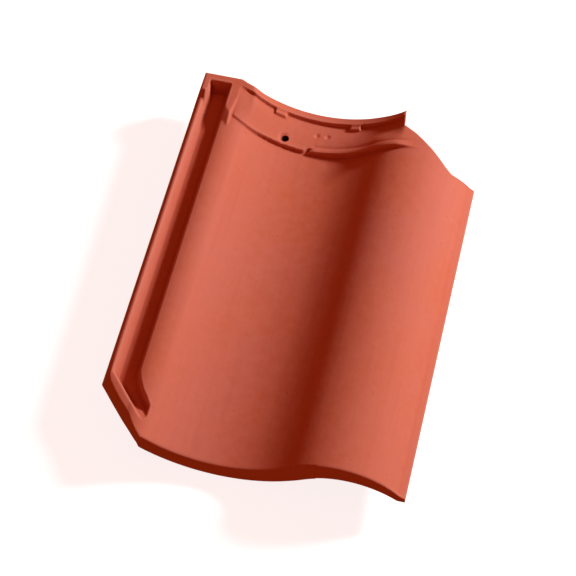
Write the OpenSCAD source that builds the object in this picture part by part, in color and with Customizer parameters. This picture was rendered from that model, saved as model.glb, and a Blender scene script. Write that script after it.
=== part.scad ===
// Clay interlocking pantile: one fired piece with a concave pan, a convex roll,
// a side lock with a water channel on the left and two ribs across the head.
// The tile's own frame: X across, Y up the slope from the nose, Z up, millimetres.
// It is stored as it lies on a floor, propped a little at the head by its two nibs.

/* [Overall] */
// Width from the side lock's outer edge to the roll's flange
tile_w = 264; // [244:1:320]
// Length from the nose to the head of the side lock
tile_l = 364; // [300:1:440]
// Thickness of the body
body_t = 13; // [10.5:0.5:16]

/* [Pan and roll] */
// Radius of the roll's upper face
roll_r = 58; // [54:1:70]
// Height of the roll's crest above the pan's lowest line
roll_rise = 38.5; // [34:0.5:46]
// How much tighter the hollow under the roll curves than the roll itself
hollow_slack = 2; // [1:0.5:4]
// Height of the flange's edge above the lowest line of the nose
flange_z = 23; // [18:0.5:28]
// Radius of the shoulder between the pan and the side lock
shoulder_r = 25; // [20:1:30]
// Height of the shoulder above the pan's lowest line
shoulder_rise = 24.5; // [20:0.5:29]

/* [Nose] */
// Thickness of the nose
nose_t = 17.5; // [16:0.5:21]
// Length of the thick nose
nose_len = 18; // [12:1:26]

/* [Side lock] */
// Width of the side lock, up to the top of the channel's inner wall
lock_w = 33; // [29:0.5:38]
// Width of the channel's flat floor
channel_w = 14; // [11:0.5:16]
// Depth of the channel below the shoulder
channel_d = 11; // [8:0.5:13]
// How far the channel's inner wall leans back
wall_lean = 3; // [1:0.5:4]
// Height of the outer rim above the channel's floor
rim_h = 9; // [7:0.5:10]
// Width of the outer rim's flat top
rim_w = 3; // [2:0.5:5]
// Height of the side lock's outer face
lock_h = 26; // [22:0.5:28]
// How far the outer face leans in over its height
outer_lean = 8; // [5:0.5:9]
// Length of solid clay that closes the channel at the head
channel_stop = 8; // [6:0.5:12]
// Height of the flat lands at the head above the shoulder
land_h = 4; // [2:0.5:5]
// Length of the land on the outer rim
rim_land_l = 24; // [18:1:32]
// Width of the land on the outer rim
rim_land_w = 6; // [4:0.5:8]
// Width of the land on the shoulder
land_w = 10; // [8:0.5:12]

/* [Lower left corner] */
// Width of the cut corner
low_cut_w = 46; // [40:1:52]
// Length of the cut corner
low_cut_l = 51; // [44:1:60]
// Width of the rim that follows the cut, at its foot
cut_rim_w = 12.5; // [10:0.5:15]
// Distance from the nose to where the channel turns along the cut
turn_y = 56; // [50:1:66]
// Distance from the nose to where the turned channel's wall ends
turn_end_y = 28; // [24:1:32]
// How far the turned channel's wall runs across, as a share of what the cut does
turn_share = 0.7; // [0.6:0.05:0.9]
// Distance from the nose to the foot of the ramp that ends the channel
ramp_y = 33; // [30:1:38]

/* [Upper right corner] */
// Width of the corner that is cut away at the head of the roll
high_cut_w = 72; // [64:1:84]
// Width of the square shoulder at the end of the cut
square_w = 21; // [15:1:28]
// Length of the flange, from the nose to the square shoulder
flange_l = 304; // [250:1:330]
// Length of the slanting part of the cut, along the tile
high_cut_l = 37; // [30:1:44]

/* [Head] */
// How far the pan's head edge lies short of the side lock's head
head_inset = 7; // [4:0.5:12]
// Width over which the head edge steps back from the side lock to the pan
head_slant = 15; // [10:1:20]
// Radius of the hollow that the head rib's top follows
head_r = 101; // [92:1:112]
// Distance of that hollow's centre line from the pan's, towards the roll
head_off = 7.4; // [5:0.1:12]
// Height of the head rib's top above the pan's lowest line
head_rise = 7; // [6:0.5:9]
// Height of the head's raised field above the pan
field_h = 4; // [3:0.5:6]
// Length of the raised field, from the head edge to its lower step
field_l = 37; // [32:1:44]
// Height of the head rib above the dip in front of it
rib_h = 2.5; // [2:0.1:2.7]
// Slope of that dip, which runs down the roll's flank towards the rib
dip_tilt = 17; // [14:1:22]
// Width of the head rib
rib_w = 8; // [6:0.5:10]
// How far the two tabs stand out of the head rib
tab_d = 4; // [3:0.5:6]
// Width of each tab
tab_w = 10; // [8:1:14]
// Distance of the left tab's middle from the pan's lowest line
tab_left = 29; // [22:1:36]
// Distance of the right tab's middle from the pan's lowest line
tab_right = 38; // [30:1:46]
// How far the tabs' tops lie below the head rib's
tab_step = 1; // [0.5:0.5:2]
// How much further down the right part of the field's lower step reaches
step_drop = 5; // [3:0.5:8]
// Width of the drain gap through the lower step
drain_w = 4; // [3:0.5:6]
// Angle of the drain gap, from the tile's length
drain_angle = 40; // [30:1:50]

/* [Nail hole] */
// Diameter of the nail hole
nail_d = 6; // [5:0.5:8]
// Diameter of the shallow seat round the nail hole
nail_seat_d = 10; // [9:0.5:12]
// Depth of the seat below the field, at the nail hole's middle
nail_seat_t = 0.5; // [0.5:0.1:1]
// Distance of the nail hole from the pan's lowest line, towards the side lock
nail_off = 21; // [14:0.5:28]
// Distance of the nail hole from the head edge
nail_from_head = 32.5; // [27:0.5:36]

/* [Nibs] */
// Height of the nibs below the body
nib_drop = 13.5; // [10:0.5:18]
// Width of each nib
nib_w = 32; // [24:1:40]
// Thickness of each nib, along the tile
nib_t = 16; // [12:1:20]
// How much thinner each nib is at its lower end
nib_taper = 5; // [3:1:7]
// Distance between the two nibs' centres
nib_pitch = 88; // [72:1:106]
// Distance of the nibs' bearing faces from the head edge
nib_from_head = 30; // [24:1:36]

/* [Hidden] */
$fn = 96;
clay = [0.80, 0.38, 0.29];
deep = 80;
slit = 1;

// Heights above the lowest line of the nose
pan_top = nose_t;
roll_top = pan_top + roll_rise;
roll_z = roll_top - roll_r;
shoulder_top = pan_top + shoulder_rise;
channel_z = shoulder_top - channel_d;
rim_top = channel_z + rim_h;
lock_bottom = rim_top - lock_h;
land_top = shoulder_top + land_h;

// The wave of the upper face: a shoulder arc, a pan arc and a roll arc that run on from each
// other. The pan's radius follows from the room between the side lock and the flange.
shoulder_x = lock_w + shoulder_r / 4;
roll_x = tile_w - sqrt(pow(roll_r, 2) - pow(flange_z - roll_z, 2));
span = roll_x - shoulder_x;
// squared reach of each arc from the pan's centre line: 2 * rise * (pan_r + radius) - rise^2
roll_k = 2 * roll_rise * roll_r - pow(roll_rise, 2);
shoulder_k = 2 * shoulder_rise * shoulder_r - pow(shoulder_rise, 2);
ratio = shoulder_rise / roll_rise;
roll_reach = (span - sqrt(pow(span, 2) - (1 - ratio)
    * (pow(span, 2) + ratio * roll_k - shoulder_k))) / (1 - ratio);
pan_r = (pow(roll_reach, 2) - roll_k) / (2 * roll_rise);
pan_x = roll_x - roll_reach;
pan_z = pan_top + pan_r;

// Along the tile
head_y = tile_l - head_inset;
rib_y = head_y - rib_w;
field_y = head_y - field_l;
nail_y = head_y - nail_from_head;
field_x = lock_w + land_w;
rib_end_x = tile_w - high_cut_w;
head_c = [pan_x + head_off, pan_top + head_rise + head_r];

// Nibs, and the tilt at which the tile rests on them and on its nose
nib_bottom = nose_t - body_t - nib_drop;
nib_y = head_y - nib_from_head;
rest_tilt = atan(-nib_bottom / nib_y);
// The tilted tile's middle, half way between its nose and its head
mid_y = (tile_l * cos(rest_tilt) - (lock_bottom + roll_top) * sin(rest_tilt)) / 2;

// Distance from the pan's centre line to the centre of an arc of radius r with its crest at
// the height top, where that arc runs on from a pan arc of radius pan without a kink
function reach(pan, r, top) = sqrt(pow(pan + r, 2) - pow(pan_z - (top - r), 2));

// Draws a section, given in X and Z, along Y from y0 to y1
module along(y0, y1) {
    translate([0, y1, 0]) rotate([90, 0, 0]) linear_extrude(y1 - y0) children();
}

// Everything under a wave of three arcs, from x0 to x1.
// The lines through the arcs' centres meet them where they touch.
module below_wave(pan, roll, roll_crest, shoulder, shoulder_crest, x0, x1) {
    roll_c = [pan_x + reach(pan, roll, roll_crest), roll_crest - roll];
    shoulder_c = [pan_x - reach(pan, shoulder, shoulder_crest), shoulder_crest - shoulder];
    intersection() {
        union() {
            difference() {
                polygon([
                    [shoulder_c.x - shoulder, -deep],
                    [shoulder_c.x - shoulder, shoulder_c.y],
                    shoulder_c,
                    [pan_x, pan_z],
                    roll_c,
                    [roll_c.x + roll, roll_c.y],
                    [roll_c.x + roll, -deep]
                ]);
                translate([pan_x, pan_z]) circle(pan);
            }
            translate(roll_c) circle(roll);
            translate(shoulder_c) circle(shoulder);
        }
        translate([x0, -deep - slit]) square([x1 - x0, 3 * deep]);
    }
}

// Everything under the upper face, raised by h at the pan and the shoulder and by half of
// that at the roll
module below_face(h, x0, x1) {
    below_wave(pan_r - h, roll_r + h / 2, roll_top + h / 2,
        shoulder_r + h, shoulder_top + h, x0, x1);
}

// Everything under the lower face of a body of thickness t
module below_back(t, x0, x1) {
    below_wave(pan_r + t, roll_r - hollow_slack, roll_top - t,
        shoulder_r - t, shoulder_top - t, x0, x1);
}

// Section of the pan and the roll with thickness t
module wave_section(t) {
    difference() {
        below_face(0, lock_w, tile_w);
        below_back(t, lock_w - slit, tile_w + slit);
        translate([roll_x, -deep]) square([tile_w, deep + flange_z]);
    }
}

// A strip that stands h above the upper face and reaches a little into the body
module strip_section(h, x0, x1) {
    difference() {
        below_face(h, x0, x1);
        below_face(-body_t / 3, x0 - slit, x1 + slit);
    }
}

// Section of the side lock without its channel
module lock_section() {
    polygon([
        [0, lock_bottom],
        [outer_lean, rim_top],
        [lock_w + slit, rim_top],
        [shoulder_x, shoulder_top - body_t / 2],
        [shoulder_x, shoulder_top - body_t],
        [lock_w - wall_lean, lock_bottom]
    ]);
    polygon([
        [lock_w - wall_lean, lock_bottom + slit],
        [lock_w - wall_lean, shoulder_top - slit],
        [lock_w + slit, shoulder_top - slit],
        [shoulder_x, shoulder_top - body_t]
    ]);
}

// Section of the channel: the rim's inner slope, the floor and the leaning inner wall
module channel_section() {
    wall_foot = lock_w - wall_lean;
    floor_x = wall_foot - channel_w;
    polygon([
        [outer_lean + rim_w, rim_top],
        [floor_x, channel_z],
        [wall_foot, channel_z],
        [lock_w, shoulder_top],
        [lock_w + wall_lean, shoulder_top + channel_d],
        [outer_lean + rim_w, shoulder_top + channel_d]
    ]);
}

// Angle of the cut lower left corner, from the nose towards the side lock's outer edge
cut_angle = atan2(low_cut_l, -low_cut_w);

// Draws a section along the cut corner. Its first coordinate is the distance inwards.
module along_cut(length) {
    translate([low_cut_w, 0, 0]) rotate([90, 0, cut_angle - 90])
        translate([0, 0, -length / 2]) linear_extrude(length) children();
}

// What the cut takes away: its face leans in as the lock's outer face does
module low_cut() {
    lean = outer_lean / lock_h;
    along_cut(4 * low_cut_l) polygon([
        [-low_cut_l, -deep],
        [lean * (-deep - lock_bottom), -deep],
        [lean * (deep - lock_bottom), deep],
        [-low_cut_l, deep]
    ]);
}

// The channel's lower end turns along the cut corner and ends in a ramp
module channel_end() {
    end_x = lock_w + (turn_y - turn_end_y) * low_cut_w / low_cut_l * turn_share;
    difference() {
        translate([0, 0, channel_z]) linear_extrude(2 * channel_d) polygon([
            [outer_lean + rim_w, turn_y + low_cut_l],
            [lock_w - wall_lean, turn_y + low_cut_l],
            [lock_w - wall_lean, turn_y],
            [end_x, turn_end_y],
            [end_x, 0],
            [outer_lean + rim_w, 0]
        ]);
        // the rim's inner slope carries on above the corner
        along(0, tile_l) polygon([
            [0, channel_z - slit],
            [lock_w - wall_lean - channel_w, channel_z - slit],
            [lock_w - wall_lean - channel_w, channel_z],
            [outer_lean + rim_w, rim_top],
            [outer_lean + rim_w, rim_top + channel_d],
            [0, rim_top + channel_d]
        ]);
        along_cut(4 * low_cut_l) translate([-low_cut_l, 0]) square([low_cut_l + cut_rim_w, deep]);
        // the ramp, drawn in Y and Z
        rotate([90, 0, 90]) linear_extrude(tile_w) polygon([
            [0, channel_z - slit],
            [ramp_y + 2 * slit, channel_z - slit],
            [ramp_y, channel_z],
            [ramp_y / 2, shoulder_top],
            [0, shoulder_top]
        ]);
    }
}

module channel() {
    along(turn_y, tile_l - channel_stop) channel_section();
    channel_end();
}

// Flat lands at the head, on the outer rim and on the shoulder, with sloping lower ends
module lands() {
    rise = land_top - rim_top;
    translate([outer_lean, 0, 0]) rotate([90, 0, 90]) linear_extrude(rim_land_w) polygon([
        [tile_l, rim_top - slit],
        [tile_l, land_top],
        [tile_l - rim_land_l + rise, land_top],
        [tile_l - rim_land_l, rim_top - slit]
    ]);
    translate([lock_w, 0, 0]) rotate([90, 0, 90]) linear_extrude(field_x - lock_w) polygon([
        [tile_l, shoulder_top - body_t / 2],
        [tile_l, land_top],
        [field_y, land_top],
        [field_y - 2 * land_h, shoulder_top - body_t / 2]
    ]);
    translate([outer_lean, tile_l - channel_stop, lock_bottom + slit])
        cube([field_x - outer_lean, channel_stop, land_top - lock_bottom - slit]);
}

module side_lock() {
    difference() {
        along(0, tile_l) lock_section();
        channel();
    }
    lands();
}

// The raised field at the head. Its lower edge is a step down to the pan, and the right part
// of the step reaches further down, past a slanting drain gap.
module head_field() {
    difference() {
        union() {
            along(field_y, tile_l) strip_section(field_h, field_x - slit, roll_x);
            along(field_y - step_drop, field_y + slit) strip_section(field_h, pan_x, roll_x);
        }
        translate([pan_x, field_y - step_drop - slit, -deep]) rotate([0, 0, -drain_angle])
            translate([-drain_w / 2, -step_drop, 0]) cube([drain_w, 3 * step_drop, 3 * deep]);
    }
}

// What the wave loses at the head: all above the head rib's hollow, and a dip that leads down
// the roll's flank to the rib, a tilted round cut whose lowest line meets the rib's foot
module head_dip() {
    dip_r = head_r + rib_h;
    along(rib_y, tile_l + slit) translate(head_c) circle(head_r);
    intersection() {
        translate([head_c.x, rib_y, head_c.y - dip_r]) rotate([-dip_tilt, 0, 0])
            translate([0, dip_r, dip_r]) rotate([90, 0, 0]) cylinder(r = dip_r, h = 2 * dip_r);
        translate([pan_x, 0, -deep]) cube([tile_w, rib_y, 4 * deep]);
    }
}

// Section of the head rib, lowered by drop: its top follows a hollow that is wider than the
// pan's, so that the nose of the tile above can lie in it
module rib_section(drop, x0, x1) {
    difference() {
        polygon([
            [x0, -deep],
            [x0, land_top - drop],
            [pan_x, land_top - drop],
            [pan_x, roll_top],
            [x1, roll_top],
            [x1, -deep]
        ]);
        translate(head_c) circle(head_r + drop);
        below_face(-body_t / 3, x0 - slit, x1 + slit);
    }
}

module head_rib() {
    along(rib_y, tile_l) rib_section(0, field_x - slit, rib_end_x + slit);
    for (x = [pan_x - tab_left, pan_x + tab_right])
        along(rib_y - tab_d, rib_y + slit)
            rib_section(tab_step, x - tab_w / 2, x + tab_w / 2);
}

module nibs() {
    difference() {
        for (side = [-1, 1])
            translate([pan_x + side * nib_pitch / 2 - nib_w / 2, nib_y, nib_bottom])
                rotate([90, 0, 90]) linear_extrude(nib_w)
                    polygon([[0, 0], [nib_t - nib_taper, 0], [nib_t, deep], [0, deep]]);
        along(0, tile_l) difference() {
            square([tile_w, 2 * deep]);
            below_face(-body_t / 2, -slit, tile_w + slit);
        }
    }
}

// What lies beyond the head's outline: behind the pan's head edge, and the corner that is
// cut away at the head of the roll
module beyond_head() {
    translate([0, 0, -deep]) linear_extrude(3 * deep) polygon([
        [field_x, tile_l + slit],
        [field_x, tile_l],
        [field_x + head_slant, head_y],
        [rib_end_x, head_y],
        [rib_end_x, flange_l + high_cut_l],
        [tile_w - square_w, flange_l],
        [tile_w + slit, flange_l],
        [tile_w + slit, tile_l + slit]
    ]);
}

// The bore, and a flat seat sunk into the field round it
module nail_hole() {
    nail_x = pan_x - nail_off;
    field_r = pan_r - field_h;
    seat_z = pan_z - sqrt(pow(field_r, 2) - pow(nail_off, 2)) - nail_seat_t;
    translate([nail_x, nail_y, -deep]) cylinder(d = nail_d, h = 3 * deep);
    translate([nail_x, nail_y, seat_z]) cylinder(d = nail_seat_d, h = deep);
}

module body() {
    difference() {
        union() {
            difference() {
                union() {
                    along(0, tile_l) wave_section(body_t);
                    along(0, nose_len) wave_section(nose_t);
                    head_field();
                }
                head_dip();
            }
            side_lock();
            head_rib();
        }
        channel_end();
        low_cut();
        beyond_head();
        nail_hole();
    }
    nibs();
}

module tile() {
    color(clay) translate([-tile_w / 2, -mid_y, 0]) rotate([rest_tilt, 0, 0]) body();
}

tile();
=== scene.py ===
# %% [markdown]
# # A pressed clay pantile
# This notebook makes the finished look of one interlocking roof tile around its CAD model.
# The tile is fired from one piece of clay. A wet slab is squeezed between two plaster moulds,
# and both moulds must lift straight off again, so neither face has an undercut: each one is
# a height field, one height for every place seen from above. The mesh is made the same way.

# %% Load the frame
import math
import bpy
import numpy as np
from mathutils import Matrix, Vector


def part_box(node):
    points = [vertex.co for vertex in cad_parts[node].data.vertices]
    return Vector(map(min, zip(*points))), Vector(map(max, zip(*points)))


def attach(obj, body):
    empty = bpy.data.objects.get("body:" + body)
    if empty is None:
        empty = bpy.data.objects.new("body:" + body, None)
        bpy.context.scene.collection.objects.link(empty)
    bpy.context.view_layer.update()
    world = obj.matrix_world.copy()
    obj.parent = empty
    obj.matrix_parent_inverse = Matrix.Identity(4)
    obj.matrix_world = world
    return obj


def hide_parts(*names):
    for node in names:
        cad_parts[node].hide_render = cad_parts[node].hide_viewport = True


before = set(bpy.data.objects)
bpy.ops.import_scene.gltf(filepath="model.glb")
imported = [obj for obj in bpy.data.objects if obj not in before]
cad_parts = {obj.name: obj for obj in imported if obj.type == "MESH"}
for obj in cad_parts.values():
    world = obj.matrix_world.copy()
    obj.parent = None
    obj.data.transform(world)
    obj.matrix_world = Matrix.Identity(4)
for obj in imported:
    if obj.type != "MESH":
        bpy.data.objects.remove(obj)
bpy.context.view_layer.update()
MM = 0.001

# %% [markdown]
# ## The tile's own frame
# A roofer measures a tile from its nose: X runs across from the side lock, Y runs up the tile
# and Z points out of its weather face. On a floor the two nibs under the head prop the tile
# up by a small angle. All shapes below are worked out in the tile's own millimetres, and one
# matrix lays the finished mesh down in the position that the CAD model has.

# %% Place of the tile on the floor
rest_tilt = math.radians(1.577)
box_low, box_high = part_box("tile")
tile_w = (box_high.x - box_low.x) / MM
tile_l = 364.0
lock_bottom = 14.0
roll_top = 56.0
mid_y = (tile_l * math.cos(rest_tilt) - (lock_bottom + roll_top) * math.sin(rest_tilt)) / 2
lay_down = (
    Matrix.Scale(MM, 4)
    @ Matrix.Translation((-tile_w / 2, -mid_y, 0))
    @ Matrix.Rotation(rest_tilt, 4, "X")
)
print("tile width %.1f mm, nose at %.2f mm" % (tile_w, lay_down.translation.y / MM))

# %% [markdown]
# ## Camera
# The tile is seen from above its nose, a little from the right, with a long lens. The angles
# are given in the tile's own frame, and a matrix built from three axes turns the camera
# without the roundabout way of Euler angles.

# %% Camera
view_azimuth = math.radians(13.35)
view_elevation = math.radians(58.0)
camera_at = Vector((317.9, -624.3, 1334.4))
lens_mm = 114.56
sensor_mm = 36.0

back = Vector((
    math.sin(view_azimuth) * math.cos(view_elevation),
    -math.cos(view_azimuth) * math.cos(view_elevation),
    math.sin(view_elevation),
))
right = Vector((math.cos(view_azimuth), math.sin(view_azimuth), 0))
up = back.cross(right)
turn = lay_down.to_3x3().normalized()
axes = Matrix((turn @ right, turn @ up, turn @ back)).transposed()

camera_data = bpy.data.cameras.new("camera")
camera_data.lens = lens_mm
camera_data.sensor_width = sensor_mm
camera_data.sensor_fit = "HORIZONTAL"
camera_data.clip_start = 0.05
camera_data.clip_end = 20
camera = bpy.data.objects.new("camera", camera_data)
camera.matrix_world = Matrix.Translation(lay_down @ camera_at) @ axes.to_4x4()
bpy.context.scene.collection.objects.link(camera)
bpy.context.scene.camera = camera
print("camera at", [round(v, 3) for v in camera.location])

# %% [markdown]
# ## The wave
# Across the tile three arcs run on from each other: a small shoulder by the side lock, the
# wide hollow of the pan and the round roll. Two arcs join without a kink where the line
# through their centres meets them. A mesh could also follow a Bezier curve, but arcs need
# only radii and crest heights, and the same function then draws the upper face, the lower
# face and everything that stands a little above the upper face.

# %% Sizes of the wave, in mm
pan_r = 92.598
pan_x = 111.097
nose_t = 17.5
body_t = 13.0
nose_len = 18.0
roll_r = 58.0
roll_x = 211.665
hollow_slack = 2.0
shoulder_r = 25.0
shoulder_top = 42.0
lock_w = 33.0
flange_z = 23.0
pan_z = nose_t + pan_r


def arc_reach(pan, radius, crest):
    """Distance from the pan's centre line to the centre of an arc that runs on from the pan."""
    return np.sqrt((pan + radius) ** 2 - (pan_z - (crest - radius)) ** 2)


def wave(x, pan, roll, roll_crest, shoulder, shoulder_crest):
    """Height of the three joined arcs at x."""
    roll_at = pan_x + arc_reach(pan, roll, roll_crest)
    shoulder_at = pan_x - arc_reach(pan, shoulder, shoulder_crest)
    joins_roll = pan_x + (roll_at - pan_x) * pan / (pan + roll)
    joins_shoulder = pan_x - (pan_x - shoulder_at) * pan / (pan + shoulder)
    hollow = pan_z - np.sqrt(np.maximum(pan**2 - (x - pan_x) ** 2, 0))
    hump = roll_crest - roll + np.sqrt(np.maximum(roll**2 - (x - roll_at) ** 2, 0))
    brow = shoulder_crest - shoulder + np.sqrt(np.maximum(shoulder**2 - (x - shoulder_at) ** 2, 0))
    return np.where(x > joins_roll, hump, np.where(x < joins_shoulder, brow, hollow))


def raised_wave(x, h):
    """The upper face, raised by h at the pan and the shoulder and by half of that at the roll."""
    return wave(x, pan_r - h, roll_r + h / 2, roll_top + h / 2, shoulder_r + h, shoulder_top + h)


def lowered_wave(x, t):
    """The lower face of a body of thickness t. The hollow under the roll is a little tighter."""
    return wave(x, pan_r + t, roll_r - hollow_slack, roll_top - t,
                shoulder_r - t, shoulder_top - t)


print("pan %.1f mm deep below the roll" % (roll_top - nose_t))

# %% [markdown]
# ## The head
# The next tile up the roof lies over the head, and rain that is blown up there has to stop
# before it gets over the edge. A raised field crosses the head, and on it stands a rib whose
# top follows a hollow wider than the pan's, because the nose of the next tile must lie in it.
# The field rises gently from one arc to the other. `smooth` is the usual S-shaped step: it
# has no slope at either end, so blended surfaces meet without a crease.

# %% Sizes of the head, in mm
head_y = 357.0
field_x = 42.0
field_h = 4.0
rib_w = 8.0
rib_y = head_y - rib_w
rib_h = 3.6
rib_x = 118.4
rib_r = 99.0
rib_low = 24.7
land_top = 46.0
rib_end_x = tile_w - 72.0
rib_runs_on = 5.0
rib_widens = 4.0
rib_drops = 0.7
rib_front_x = (44, 51, 60, 75)
rib_front_y = (355.5, 352.8, 350.2, rib_y)
field_start = 0.4
field_rise_x = (43, 85)
field_fade_x = (188, 212)
foot_x = (38, 60)
foot_y = (322, 348)
tab_drop = 1.0
tab_y = 344.3
tabs_x = ((76.0, 86.5), (144.0, 154.0))
step_x = (43, 50, 60, 80, 108, 116, 150, 180, 205)
step_y = (324.5, 321.5, 319.5, 318, 316.6, 316, 315.8, 316.2, 317.5)
drain_at = (111.0, 317.5)
drain_w = 2.3
drain_turn = math.radians(-45)
drain_reach = 3.5
bead_h = 0.8
bead_from_x = (114, 118)
bead_to_x = (190, 206)
groove = 0.7
nail_x = pan_x - 21.0
nail_y = head_y - 32.5
nail_r = 3.0
nail_seat_r = 5.2
nail_seat_depth = 0.5
dimples = ((116.7, 335.4), (126.3, 335.5))
dimple_r = 2.7
dimple_depth = 1.1


def smooth(value, low, high):
    """0 below low, 1 above high and an S-shaped step between them."""
    t = np.clip((value - low) / (high - low), 0, 1)
    return t * t * (3 - 2 * t)


def rib_top(x, y):
    """Height of the rib's top, a hollow that is a little wider and lower at the head edge."""
    share = np.clip((y - rib_y) / rib_w, 0, 1)
    radius = rib_r + rib_widens * share
    drop = np.sqrt(np.maximum(radius**2 - (x - rib_x) ** 2, 0))
    hollow = rib_low - rib_drops * share + radius - drop
    return np.where(x < rib_x, np.minimum(hollow, land_top), hollow)


def rib_front(x):
    """Where the rib's front wall runs: it bends back towards the side lock."""
    return np.interp(x, rib_front_x, rib_front_y)


def head_top(x, y):
    """Height of the head: plain wave, then the field above a step, then the rib and its tabs."""
    plain = raised_wave(x, 0 * x)
    rise = field_start + (1 - field_start) * smooth(x, *field_rise_x)
    field = raised_wave(x, field_h * rise * (1 - smooth(x, *field_fade_x)))
    foot = rib_top(x, rib_y + 0 * x) - rib_h * smooth(x, *foot_x)
    foot = np.where(x > rib_x, np.minimum(foot, field), foot)
    field = field + (foot - field) * smooth(y, *foot_y)
    behind = y - np.interp(x, step_x, step_y)
    bead = bead_h * smooth(x, *bead_from_x) * (1 - smooth(x, *bead_to_x))
    field = field + bead * (smooth(behind, -1, 1.5) - (1 + groove) * smooth(behind, 4.5, 6)
                            + groove * smooth(behind, 6.5, 10))
    from_x, from_y = x - drain_at[0], y - drain_at[1]
    drain = np.abs(from_x * math.cos(drain_turn) + from_y * math.sin(drain_turn))
    open_drain = (drain < drain_w / 2) & (behind < drain_reach)
    top = np.where((behind > 0) & ~open_drain & (x > field_x), field, plain)
    front = rib_front(x)
    for start, end in tabs_x:
        tab = (x > start) & (x < end) & (y > tab_y) & (y <= front)
        top = np.where(tab, rib_top(x, y) - tab_drop, top)
    rib = (y > front) & (x > field_x) & (x < rib_end_x + rib_runs_on)
    return np.where(rib, np.maximum(rib_top(x, y), top), top)


print("nail hole %.0f mm across, %.1f mm below the head edge" % (2 * nail_r, head_y - nail_y))

# %% [markdown]
# ## The side lock
# The left edge carries a channel for the water that gets between two tiles, with a rim on
# its outer side. Near the nose the channel turns along the cut corner and ends in a ramp.
# It is drawn as a floor with four banks that rise from it: where the banks pass the wave,
# the wave wins. Taking the higher of several slopes is how a mould is cut, too.

# %% Sizes of the side lock, in mm
rim_top = 40.0
rim_w = 3.0
outer_lean = 8.0
channel_floor = 31.0
channel_w = 14.0
wall_lean = 3.0
wall_foot = lock_w - wall_lean
channel_stop = 8.0
rim_land_x = (outer_lean, 12.8, 14.6)
rim_land_y = (340, 338.5, 343)
land_start_x = (lock_w, 40, 42, 44)
land_start_y = (320, 311, 326, 345)
turn_y = (29, 35, 41, 49.5, 58)
turn_foot_x = (46.4, 42.3, 37.3, 32.8, wall_foot)
ramp_y = 33.7
ramp_slope = 0.56
cut_w = 46.0
cut_l = 51.0
cut_rim_w = 10.4
cut_rim_run = 1.8
cut_rim_rise = 2.0
bank_blend = 2.5
rim_land_slope = 1.0
shoulder_land_slope = 0.32
shoulder_land_dip = 0.3
block_x = field_x + 0.5
cut_in = Vector((cut_l, cut_w)).normalized()


def cut_distance(x, y):
    """Distance inwards from the cut corner's lower edge."""
    return (x - cut_w) * cut_in.x + y * cut_in.y


def highest(*heights, blend=0.0):
    """The highest of several heights. With a blend, close heights run into each other."""
    top = heights[0]
    for other in heights[1:]:
        apart = np.clip(1 - np.abs(top - other) / max(blend, 1e-6), 0, 1)
        top = np.maximum(top, other) + blend * apart**2 / 4
    return top


def channel(x, y):
    """The channel's floor and its banks."""
    depth = shoulder_top - channel_floor
    floor_x = wall_foot - channel_w
    rim = np.interp(x, [outer_lean + rim_w, floor_x], [rim_top, channel_floor])
    foot = np.interp(y, turn_y, turn_foot_x)
    wall = channel_floor + (x - foot) * depth / wall_lean
    reach = cut_rim_w + cut_rim_run - cut_distance(x, y)
    cut_rim = channel_floor + reach * (rim_top - channel_floor) / cut_rim_run
    cut_rim = np.minimum(cut_rim, rim_top + cut_rim_rise)
    ramp = channel_floor + (ramp_y - y) * ramp_slope
    stop = np.where(y > tile_l - channel_stop, land_top, 0)
    banks = highest(rim, cut_rim, blend=bank_blend)
    return highest(banks, wall, ramp, stop, channel_floor + 0 * x)


def lands(x, y):
    """Two flat lands at the head, which taper to a point down the tile."""
    starts = np.interp(x, rim_land_x, rim_land_y)
    rim_land = np.minimum(rim_top + rim_land_slope * (y - starts), land_top)
    rim_land = np.where(x < rim_land_x[-1], rim_land, 0)
    starts = np.interp(x, land_start_x, land_start_y)
    shoulder_land = shoulder_top - shoulder_land_dip + shoulder_land_slope * (y - starts)
    inside = (x > lock_w) & (x < block_x)
    shoulder_land = np.where(inside, np.minimum(shoulder_land, land_top), 0)
    block = np.where((y > tile_l - channel_stop) & (x < block_x), land_top, 0)
    return highest(rim_land, shoulder_land, block)


print("channel %.0f mm wide and %.0f mm deep" % (channel_w, shoulder_top - channel_floor))

# %% [markdown]
# ## The two faces as height fields
# `upper` and `lower` give the sharp shapes. Clay never fills a sharp corner of a mould, so
# `softened` takes the mean of 25 heights around each place, as a blur does in an image,
# and every edge gets a small radius. The roll's edge ends in a narrow, flatter strip.

# %% Upper and lower face
strip_x = tile_w - 5.5
strip_slope = 0.75
lock_dip = 0.8
nib_bottom = -9.0
nib_w = 32.0
nib_t = 16.0
nib_y = head_y - 30.0
nib_pitch = 88.0
nib_back_run = 5.0
nib_back_slope = 4.0
no_nib = 99.0
lock_joins_x = lock_w + shoulder_r / 4
cut_foot_x = (0, 25, 40, cut_w)
cut_foot_z = (lock_bottom, 16.0, 21.5, 24.5)


def upper(x, y):
    """Height of the weather face."""
    top = head_top(x, y)
    strip = raised_wave(np.full_like(x, strip_x), 0 * x) - strip_slope * (x - strip_x)
    top = np.where(x > strip_x, np.maximum(top, strip), top)
    lock_top = np.interp(x, [outer_lean + rim_w, lock_w], [rim_top, shoulder_top - lock_dip])
    top = np.where(x < lock_w, lock_top, top)
    top = highest(np.minimum(top, channel(x, y)), lands(x, y))
    away = np.hypot(x - nail_x, y - nail_y)
    seat_z = pan_z - math.sqrt((pan_r - field_h) ** 2 - (nail_x - pan_x) ** 2) - nail_seat_depth
    return np.where(away < nail_seat_r, np.minimum(top, seat_z), top)


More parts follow.
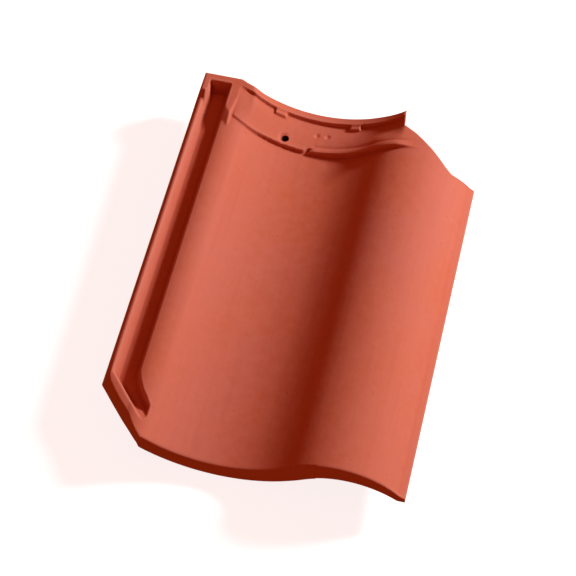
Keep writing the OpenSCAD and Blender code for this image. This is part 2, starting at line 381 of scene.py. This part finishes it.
def lower(x, y):
    """Height of the underside, with the two nibs that hook over the roof batten."""
    thick = np.where(y < nose_len, nose_t, body_t)
    under = np.where(y < nose_len, lowered_wave(x, nose_t), lowered_wave(x, body_t))
    under = np.where(x > roll_x, np.maximum(under, flange_z), under)
    lock = np.interp(x, [wall_foot, lock_joins_x], [lock_bottom, shoulder_top - body_t])
    under = np.where(x < lock_joins_x, np.minimum(lock, shoulder_top - thick), under)
    under = np.where((y < cut_l) & (x < cut_w), np.interp(x, cut_foot_x, cut_foot_z), under)
    beside = np.minimum(np.abs(x - pan_x - nib_pitch / 2), np.abs(x - pan_x + nib_pitch / 2))
    back_slope = np.maximum(y - (nib_y + nib_t - nib_back_run), 0) * nib_back_slope
    nib = np.where((y >= nib_y) & (beside < nib_w / 2), nib_bottom + back_slope, no_nib)
    return np.minimum(under, nib)


def softened(height, x, y, radius):
    """The mean height over a small square round each place, weighted to its middle."""
    offsets = radius * np.array([-1, -0.5, 0, 0.5, 1])
    weights = np.array([1, 2, 3, 2, 1]) / 9
    return sum(wx * wy * height(x + dx, y + dy)
               for dx, wx in zip(offsets, weights) for dy, wy in zip(offsets, weights))


# %% [markdown]
# ## A grid that is fine where the shape is fine
# One grid of lines serves both faces. Lines lie close together over the side lock, the head
# and the edges and wide apart over the plain wave, where a few faces are enough. A regular
# fine grid would be simpler, but it would need about four times as many faces.

# %% Grid lines
def lines(*bands):
    """Line positions from bands of (start, end, spacing), each starting where it is told."""
    parts = [np.linspace(a, b, max(2, round((b - a) / gap) + 1)) for a, b, gap in bands]
    return np.unique(np.round(np.concatenate(parts), 4))


nail_cell = 0.75
nail_band = 8 * nail_cell
high_cut_x = rib_end_x
hair = 0.04
columns = lines(
    (0, 52, 0.8), (52, 74, 1.6), (74, nail_x - nail_band, 0.8),
    (nail_x - nail_band, nail_x + nail_band, nail_cell),
    (nail_x + nail_band, 131, 0.9), (131, 142, 2.2), (142, 156, 0.8), (156, 186, 2.5),
    (186, high_cut_x - hair, 0.9), (high_cut_x, 206, 1.4), (206, 252, 3), (252, tile_w, 0.8),
)
rows = lines(
    (0, 26, 0.8), (26, 62, 1.0), (62, 300, 7), (300, nail_y - nail_band, 0.75),
    (nail_y - nail_band, nail_y + nail_band, nail_cell),
    (nail_y + nail_band, 338, 1.0), (338, tile_l, 0.65),
)
print(len(columns), "columns and", len(rows), "rows of grid lines")

# %% [markdown]
# ## The outline
# Seen from above the tile is a rectangle without two corners, and its head edge has two
# steps. Each column of the grid starts at the outline's lower side and ends at its upper
# side, and lines that would run past it are gathered on it. The outline is needed four
# times: for both faces, drawn in by the radius of the rounded edge, and at full size for
# the walls between them. The outer walls of the side lock lean, so the upper outline stands
# further in there.

# %% Outline
round_side = 2.0
round_nose = 2.6
round_head = 1.5
round_nail = 0.6
fade = 22.0
side_run = 16.0
draw_in_u = (0, 14, high_cut_x - fade, high_cut_x - hair, high_cut_x, tile_w - fade, tile_w)
draw_in = (1, 0, 0, -0.8, 0, 0, -1)
corner_slope_x = (0, 8, 12, 48, 50)
corner_slope = (1.5, 3, 1.5, 1.5, 1)
side_x = {"upper": outer_lean, "lower": 0.0}
corner_x = {
    "upper": (outer_lean, 8.3, 9.6, 12.9, 17.7, 23.8, 29.7, 34.6, 38.3, 42.6, 46.9, 48),
    "lower": (0.0, cut_w),
}
corner_y = {
    "upper": (60, 54.5, 49, 41.8, 35.4, 28.2, 22.1, 16.4, 10.8, 5, 0.8, 0),
    "lower": (cut_l, 0),
}
head_x = (0, 42, 48, 55, 63, high_cut_x, high_cut_x + 0.02, 199.6, 205.4, 211.5, 224.2,
          237.4, 243, tile_w)
head_edge_y = (tile_l, tile_l, 361, 358.3, head_y, head_y, 341.5, 336.9, 333.6, 329, 318.7,
               307, 303.6, 304)


def plan(u, v, face, rounded):
    """Where the grid place (u, v) lies on a face's outline plan, drawn in if rounded."""
    x = np.interp(u, [0, side_run, tile_w], [side_x[face], side_run, tile_w])
    x = x + rounded * round_side * np.interp(u, draw_in_u, draw_in)
    slope = np.interp(x, corner_slope_x, corner_slope)
    corner = np.interp(x, corner_x[face], corner_y[face])
    corner = np.maximum(corner + rounded * round_side * slope * (corner > 0), rounded * round_nose)
    low_nominal = np.interp(u, corner_x["lower"], corner_y["lower"])
    high_nominal = np.interp(u, head_x, head_edge_y)
    high = np.interp(x, head_x, head_edge_y) - rounded * round_head
    v = np.clip(v, low_nominal, high_nominal)
    y = v + (corner - low_nominal) * np.clip(1 - (v - low_nominal) / fade, 0, 1)
    y = y + (high - high_nominal) * np.clip(1 - (high_nominal - v) / fade, 0, 1)
    # squares of grid lines round the nail hole become circles
    dx, dy = x - nail_x, y - nail_y
    square, circle = np.maximum(abs(dx), abs(dy)), np.hypot(dx, dy) + 1e-9
    pull = np.clip((nail_band - square) / (nail_band - nail_r), 0, 1)
    wanted = square + rounded * round_nail
    grow = 1 + pull * (wanted / circle - 1)
    return nail_x + dx * grow, nail_y + dy * grow, v


# %% [markdown]
# ## One grid for two faces
# Grid places that were gathered on the outline are merged, and the faces inside the nail
# hole are left out. What is left of the grid has a rim all round and one round the hole.
# Using the same places for both faces makes the walls easy: every rim edge above has its
# partner below.

# %% Build the grid
grid_u, grid_v = np.meshgrid(columns, rows, indexing="ij")
clipped = plan(grid_u, grid_v, "lower", 0)[2]
keys = np.round(np.stack([grid_u.ravel(), clipped.ravel()], 1), 3)
places, inverse = np.unique(keys, axis=0, return_inverse=True)
index = inverse.reshape(grid_u.shape)
u, v = places.T
quads = np.stack([index[:-1, :-1], index[1:, :-1], index[1:, 1:], index[:-1, 1:]], -1)
quads = quads.reshape(-1, 4)
middle = (u[quads].mean(1), v[quads].mean(1))
in_hole = np.maximum(abs(middle[0] - nail_x), abs(middle[1] - nail_y)) < nail_r
grid_faces = []
for quad in quads[~in_hole]:
    corners = list(dict.fromkeys(quad.tolist()))
    if len(corners) > 2:
        grid_faces.append(corners)
print(len(places), "places and", len(grid_faces), "faces on each side of the tile")

# %% [markdown]
# ## Heights, wear and painted shade
# Every place now gets its height on both faces. The same step measures how far an edge
# stands out: a mean over a small square less a mean over a wide one is above zero on an
# edge and below zero in a recess. Two round dimples are pressed into the field last.

# %% Heights of the two faces
soft = 0.8
wide = 3.2
relief_depth = 1.2
sheets = {}
relief = {}
for face, height in (("upper", upper), ("lower", lower)):
    x, y, _ = plan(u, v, face, 1)
    z = softened(height, x, y, soft)
    sheets[face] = np.stack([x, y, z], 1)
    # how far each place stands out: the material pales edges as wear and darkens recesses as
    # painted shade
    relief[face] = np.clip((z - softened(height, x, y, wide)) / relief_depth, -1, 1)
for at_x, at_y in dimples:
    away = np.hypot(sheets["upper"][:, 0] - at_x, sheets["upper"][:, 1] - at_y) / dimple_r
    sheets["upper"][:, 2] -= dimple_depth * np.clip(1 - away**2, 0, 1)
print("lowest point %.1f mm, highest %.1f mm" % (
    sheets["lower"][:, 2].min(), sheets["upper"][:, 2].max()))

# %% [markdown]
# ## Walls
# A rim edge is one that only one face uses. A wall goes down from each, and it starts and
# ends in a rounded edge, because clay breaks off a sharp one. A Bezier curve with the
# sharp corner as its middle point gives that rounding in a few rings of points.

# %% Walls along the rims
edge_count = {}
for corners in grid_faces:
    for a, b in zip(corners, corners[1:] + corners[:1]):
        edge_count[(a, b)] = edge_count.get((a, b), 0) + 1
rim_edges = [e for e in edge_count if (e[1], e[0]) not in edge_count]
rim = np.unique(np.array(rim_edges))
round_low = 1.5
round_share = 0.45
corner_rings = 4


def bezier(start, corner, end, t):
    """The point at t on a curve that leaves start and reaches end, pulled to the corner."""
    return (1 - t) ** 2 * start + 2 * t * (1 - t) * corner + t**2 * end


def wall_rings(a, b):
    """Rings of points down the wall, from the upper face's rim a to the lower face's rim b."""
    top_x, top_y, _ = plan(u[rim], v[rim], "upper", 0)
    low_x, low_y, _ = plan(u[rim], v[rim], "lower", 0)
    top = np.stack([top_x, top_y, a[:, 2]], 1)
    low = np.stack([low_x, low_y, b[:, 2]], 1)
    wall = low - top
    tall = np.linalg.norm(wall, axis=1, keepdims=True)
    depth = np.linalg.norm(top - a, axis=1, keepdims=True)
    below = top + wall * np.minimum(depth / tall, round_share)
    above = low - wall * np.minimum(round_low / tall, round_share)
    steps = np.linspace(0, 1, corner_rings + 1)
    rings = [bezier(a, top, below, t) for t in steps[1:]]
    rings += [bezier(above, low, b, t) for t in steps[:-1]]
    return rings


rings = wall_rings(sheets["upper"][rim], sheets["lower"][rim])
print(len(rim), "points on the rims, joined by", len(rings) + 1, "bands of wall faces")

# %% [markdown]
# ## One closed mesh
# Both faces and the rings of the walls become one mesh without a gap, as the tile is one
# piece of clay. Each point carries a number for the material to read: above zero it pales
# the clay as wear, and below zero it darkens recesses as painted shade. On the two faces it
# is the measured one. On the walls it is simply set: a little worn, and below every measured
# value in the nail hole, where it paints the hole nearly black as painted shade.

# %% Join everything into one mesh
upper_wall_wear = 0.6
lower_wall_wear = 0.3
# marks the nail hole's walls, which the material makes nearly black as painted shade
bore_shade_mark = -3.0
hole_margin = 0.1
count = len(places)
verts = np.concatenate([sheets["upper"], sheets["lower"]] + rings)
slot_of = {int(p): i for i, p in enumerate(rim)}
faces = list(grid_faces)
faces += [[c + count for c in reversed(corners)] for corners in grid_faces]


def ring_point(place, ring):
    """Number of the point under a rim place: ring -1 is the upper face, the last the lower."""
    if ring < 0:
        return place
    if ring == len(rings):
        return place + count
    return 2 * count + ring * len(rim) + slot_of[place]


for a, b in rim_edges:
    for ring in range(-1, len(rings)):
        faces.append([ring_point(b, ring), ring_point(a, ring),
                      ring_point(a, ring + 1), ring_point(b, ring + 1)])

mesh = bpy.data.meshes.new("pressed_tile")
mesh.from_pydata(verts.tolist(), [], faces)
mesh.transform(lay_down)
wall_wear = [upper_wall_wear] * corner_rings + [lower_wall_wear] * corner_rings
in_bore = np.maximum(abs(u[rim] - nail_x), abs(v[rim] - nail_y)) < nail_r + hole_margin
on_walls = [np.where(in_bore, bore_shade_mark, amount) for amount in wall_wear]
# above zero pales the clay as wear; below zero darkens recesses and the nail hole as painted shade
wear_and_shade = np.concatenate([relief["upper"], -relief["lower"]] + on_walls)
mesh.attributes.new("wear_and_shade", "FLOAT", "POINT").data.foreach_set("value", wear_and_shade.astype(np.float32))
mesh.shade_smooth()
tile = bpy.data.objects.new("pressed_tile", mesh)
bpy.context.scene.collection.objects.link(tile)
print("the tile has", sum(len(p.vertices) - 2 for p in mesh.polygons), "triangles")

# %% [markdown]
# ## Fired clay
# The tile is natural red terracotta: an iron-rich clay, pressed, dried and fired without
# glaze. It has no shine to speak of, a tone that drifts gently over the surface, a fine
# grain of sand and now and then a dark speck of iron. The hex colours were chosen together
# with the lamp and the sky below, so under another light they are only a starting point.

# %% Colours and nodes
def linear(hex_code):
    """An sRGB hex colour as the linear RGBA values that shaders calculate with."""
    parts = [int(hex_code[i:i + 2], 16) / 255 for i in (1, 3, 5)]
    return [c / 12.92 if c <= 0.04045 else ((c + 0.055) / 1.055) ** 2.4 for c in parts] + [1.0]


def add(tree, kind, links=None, **settings):
    """Adds a node. Settings are its attributes or input values, links its inputs' sources."""
    node = tree.nodes.new(kind)
    for name, value in settings.items():
        if hasattr(node, name):
            setattr(node, name, value)
        else:
            node.inputs[name.replace("_", " ")].default_value = value
    for name, source in (links or {}).items():
        tree.links.new(source, node.inputs[name])
    return node


def remap(tree, value, **limits):
    """Stretches one range of a value to another, by default to 0 to 1."""
    return add(tree, "ShaderNodeMapRange", {"Value": value}, **limits).outputs["Result"]


def over(tree, below, colour, by):
    """Lays a colour over what is below it, as strongly as `by` says."""
    mix = add(tree, "ShaderNodeMix", {"Factor": by, "A": below}, data_type="RGBA", B=colour)
    return mix.outputs["Result"]


clay_red = linear("#C96C56")
clay_orange = linear("#CB6848")
clay_pale = linear("#D6806E")
clay_deep = linear("#B9563F")
iron_brown = linear("#7A3A28")
# painted shade for the nail hole
bore_painted_shade = linear("#2E120A")

# %% [markdown]
# The colour is built in layers, as it comes about in the kiln. A slow drift between two
# reds follows the heat of the firing, a finer mottle comes from the mixed clay, and faint
# streaks follow the way the clay came out of the extruder. Edges that stand out are rubbed
# paler as wear, and recesses are darkened as painted shade: one number on each point says
# which is which. The nail hole is painted nearly black. That is a shortcut: a real hole is
# dark only because little light gets into it, while this one stays dark in any light.

# %% Colour of the clay
clay = bpy.data.materials.new("fired_clay")
clay.use_nodes = True
tree = clay.node_tree
tree.nodes.clear()
place = add(tree, "ShaderNodeTexCoord").outputs["Object"]
drift = add(tree, "ShaderNodeTexNoise", {"Vector": place}, Scale=1 / (70 * MM), Detail=2.0)
drift_by = remap(tree, drift.outputs["Fac"], From_Min=0.35, From_Max=0.65)
body = add(tree, "ShaderNodeMix", {"Factor": drift_by},
           data_type="RGBA", A=clay_red, B=clay_orange).outputs["Result"]
mottle = add(tree, "ShaderNodeTexNoise", {"Vector": place},
             Scale=1 / (9 * MM), Detail=6.0, Roughness=0.62).outputs["Fac"]
mottle_by = remap(tree, mottle, From_Min=0.3, From_Max=0.75, To_Max=0.42)
body = over(tree, body, clay_pale, mottle_by)
along = add(tree, "ShaderNodeMapping", {"Vector": place}, Scale=(1, 0.05, 1))
streaks = add(tree, "ShaderNodeTexNoise", {"Vector": along.outputs["Vector"]},
              Scale=1 / (6 * MM), Detail=3.0)
streaks_by = remap(tree, streaks.outputs["Fac"], From_Min=0.5, From_Max=0.75, To_Max=0.16)
body = over(tree, body, clay_deep, streaks_by)
wear_and_shade = add(tree, "ShaderNodeAttribute", attribute_name="wear_and_shade").outputs["Fac"]
# wear: edges that stand out are made paler
body = over(tree, body, clay_pale, remap(tree, wear_and_shade, From_Max=0.8, To_Max=0.55))
# painted shade: recesses are darkened
body = over(tree, body, clay_deep, remap(tree, wear_and_shade, From_Max=-0.8, To_Max=0.6))
# painted shade: the nail hole's walls are made nearly black
bore_shade_by = remap(tree, wear_and_shade, From_Min=-1.0, From_Max=-2.5, To_Max=0.9)
body = over(tree, body, bore_painted_shade, bore_shade_by)
print(len(tree.nodes), "nodes make the clay's colour")

# %% [markdown]
# ## Grain
# Two things break the surface of fired clay at close range: sand grains a few tenths of a
# millimetre across, and iron grains that melted into small brown specks. A Voronoi texture
# gives one point in each cell; only the cells with a high random number get a speck.

# %% Grain, specks and shader
specks = add(tree, "ShaderNodeTexVoronoi", {"Vector": place}, Scale=1 / (5 * MM))
speck_size = remap(tree, specks.outputs["Distance"],
                   From_Min=0.05, From_Max=0.09, To_Min=1.0, To_Max=0.0)
no_speck_below = 0.88
cell = add(tree, "ShaderNodeSeparateColor", {"Color": specks.outputs["Color"]})
chosen = add(tree, "ShaderNodeMath", {"Value": cell.outputs["Red"]}, operation="GREATER_THAN")
chosen.inputs[1].default_value = no_speck_below
speck_by = add(tree, "ShaderNodeMath", {0: speck_size, 1: chosen.outputs["Value"]},
               operation="MULTIPLY")
body = over(tree, body, iron_brown, speck_by.outputs["Value"])
sand = add(tree, "ShaderNodeTexNoise", {"Vector": place}, Scale=1 / (0.9 * MM), Detail=3.0)
sand_bump = add(tree, "ShaderNodeBump", {"Height": sand.outputs["Fac"]},
                Strength=0.35, Distance=0.12 * MM)
press_bump = add(tree, "ShaderNodeBump", {"Height": mottle, "Normal": sand_bump.outputs["Normal"]},
                 Strength=0.5, Distance=0.35 * MM)
matt = remap(tree, mottle, From_Min=0.3, From_Max=0.7, To_Min=0.7, To_Max=0.88)
shader = add(tree, "ShaderNodeBsdfPrincipled",
             {"Base Color": body, "Roughness": matt, "Normal": press_bump.outputs["Normal"]},
             Specular_IOR_Level=0.3)
add(tree, "ShaderNodeOutputMaterial", {"Surface": shader.outputs["BSDF"]})
tile.data.materials.append(clay)
print(len(tree.nodes), "nodes in the whole material")

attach(tile, "root")
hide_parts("tile")

# %% [markdown]
# ## Floor and backdrop
# The tile lies on a light table, the pale glowing top that product photographers use to
# lose the shadow round an object. A great sphere of the same paper closes the room behind
# it. The clay in the shade of a real tile looks deep red, because the little light there
# has already bounced off red clay. White paper all round would wash that out, so the floor
# and the backdrop are hidden from diffuse rays.

# %% Floor
floor_w = 8.0
backdrop_r = 7.0
glow = 0.84
bpy.ops.mesh.primitive_plane_add(size=floor_w, location=(0, 0, 0))
floor = bpy.context.object
floor.name = "floor"
paper = bpy.data.materials.new("white_paper")
paper.use_nodes = True
paper_shader = paper.node_tree.nodes["Principled BSDF"]
paper_shader.inputs["Base Color"].default_value = linear("#C4C4C4")
paper_shader.inputs["Roughness"].default_value = 0.9
paper_shader.inputs["Emission Color"].default_value = (1, 1, 1, 1)
paper_shader.inputs["Emission Strength"].default_value = glow
floor.data.materials.append(paper)

bpy.ops.mesh.primitive_uv_sphere_add(radius=backdrop_r, segments=64, ring_count=32)
backdrop = bpy.context.object
backdrop.name = "backdrop"
backdrop.data.materials.append(paper)
for stand_in in (floor, backdrop):
    stand_in.visible_diffuse = False
    stand_in.visible_glossy = False
backdrop.visible_shadow = False
print("floor %.0f m wide, backdrop %.0f m across" % (floor_w, 2 * backdrop_r))

# %% [markdown]
# ## Lamp and sky
# One soft lamp at the right and behind the tile does most of the work: it stands low and
# close, so it rakes across the wave and fades from the head to the nose. A faint, strongly
# red sky stands for the light that bounces from clay to clay. Real bounced light could be
# had from a floor of clay, but then the floor would show.

# %% Lights
sky_colour = (1.0, 0.20, 0.05, 1)
sky_strength = 0.28
key_at = (1.25, 0.80, 0.98)
key_size = 0.3
key_power = 33
world = bpy.data.worlds.new("warm_sky")
bpy.context.scene.world = world
world.use_nodes = True
world.node_tree.nodes["Background"].inputs["Color"].default_value = sky_colour
world.node_tree.nodes["Background"].inputs["Strength"].default_value = sky_strength


def area_light(name, at, size, power):
    """A square lamp that shines at the middle of the tile."""
    data = bpy.data.lights.new(name, "AREA")
    data.size = size
    data.energy = power
    lamp = bpy.data.objects.new(name, data)
    lamp.location = at
    lamp.rotation_euler = (-Vector(at)).to_track_quat("-Z", "Y").to_euler()
    bpy.context.scene.collection.objects.link(lamp)


area_light("key_lamp", key_at, key_size, key_power)
bpy.context.scene.view_settings.view_transform = "Standard"
print("lamp %.2f m from the tile, %.0f W" % (Vector(key_at).length, key_power))

# %% [markdown]
# ## Finish
# Last, the view layer is brought up to date.

# %% Finish
bpy.context.view_layer.update()
